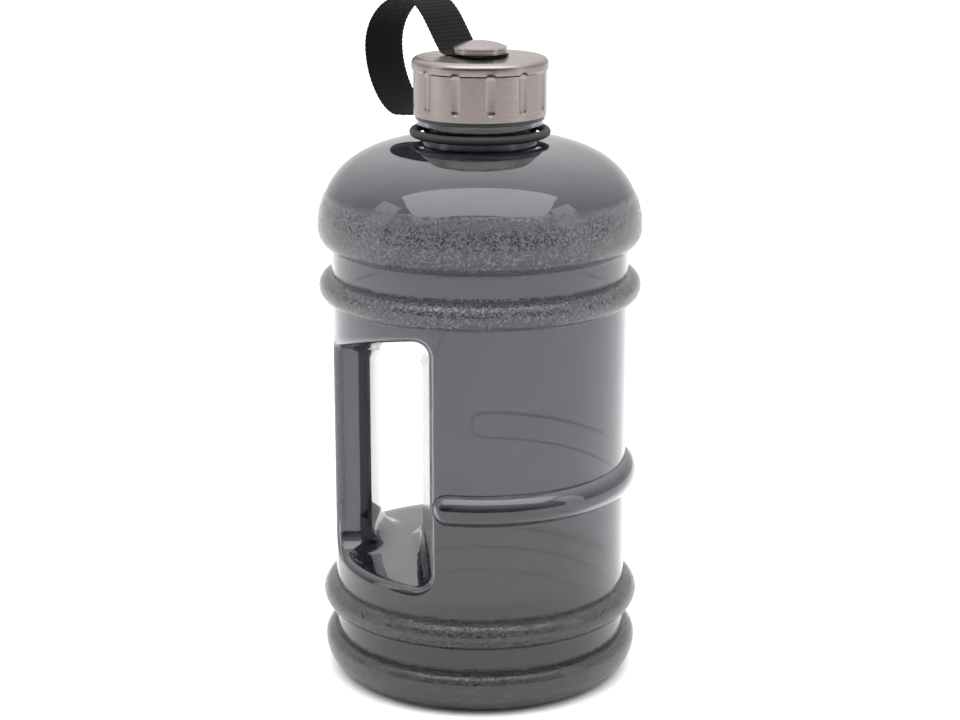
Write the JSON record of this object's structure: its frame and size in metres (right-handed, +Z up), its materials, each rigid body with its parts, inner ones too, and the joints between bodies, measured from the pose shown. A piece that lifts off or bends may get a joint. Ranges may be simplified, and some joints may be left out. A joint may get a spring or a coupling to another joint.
{
  "type": "large water jug",
  "caption": "Large translucent jug with bumper rings, a side grip post beside a through passage, and a steel screw cap tethered by a webbing strap.",
  "frame": {"origin": "middle of the base, on the plane the jug stands on", "axes": "+Z up along the jug's axis; the grip post lies towards -X and the finger passage runs along Y"},
  "size_m": [0.1336, 0.1336, 0.2814],
  "materials": {
    "clear_grey_plastic": "translucent smoke-grey blow-moulded copolyester, smooth with grained bands",
    "brushed_steel": "drawn stainless sheet, brushed round",
    "polished_steel": "turned stainless, satin polished",
    "zinc_steel": "zinc-plated steel",
    "black_plastic": "moulded black polypropylene",
    "silicone": "soft white silicone",
    "black_rubber": "matt black elastomer",
    "webbing": "black nylon webbing with cross ribs"
  },
  "bodies": {
    "jug": {"jug_body": "clear_grey_plastic"},
    "ring": {"tether_ring": "black_rubber"},
    "swivel": {"strap_eyelet": "zinc_steel", "strap": "webbing"},
    "cap": {"cap_shell": "brushed_steel", "cap_liner": "black_plastic", "cap_seal": "silicone", "button_dome": "polished_steel", "button_flange": "polished_steel", "button_screw": "zinc_steel", "screw_washer": "zinc_steel"}
  },
  "joints": [
    {"name": "cap_lift", "type": "slide", "parent": "jug", "child": "swivel", "axis": [0, 0, 1], "range_m": [0, 0.025], "deforming": ["strap"]},
    {"name": "cap_turn", "type": "hinge", "parent": "swivel", "child": "cap", "pos_m": [0, 0, 0.25], "axis": [0, 0, 1], "range_deg": [0, 1800]},
    {"name": "ring_turn", "type": "hinge", "parent": "jug", "child": "ring", "pos_m": [0, 0, 0.2292], "axis": [0, 0, 1], "continuous": true}
  ],
  "couplings": [
    {"joint": "cap_lift", "follows": "cap_turn", "m_per_rad": 0.00079577}
  ]
}
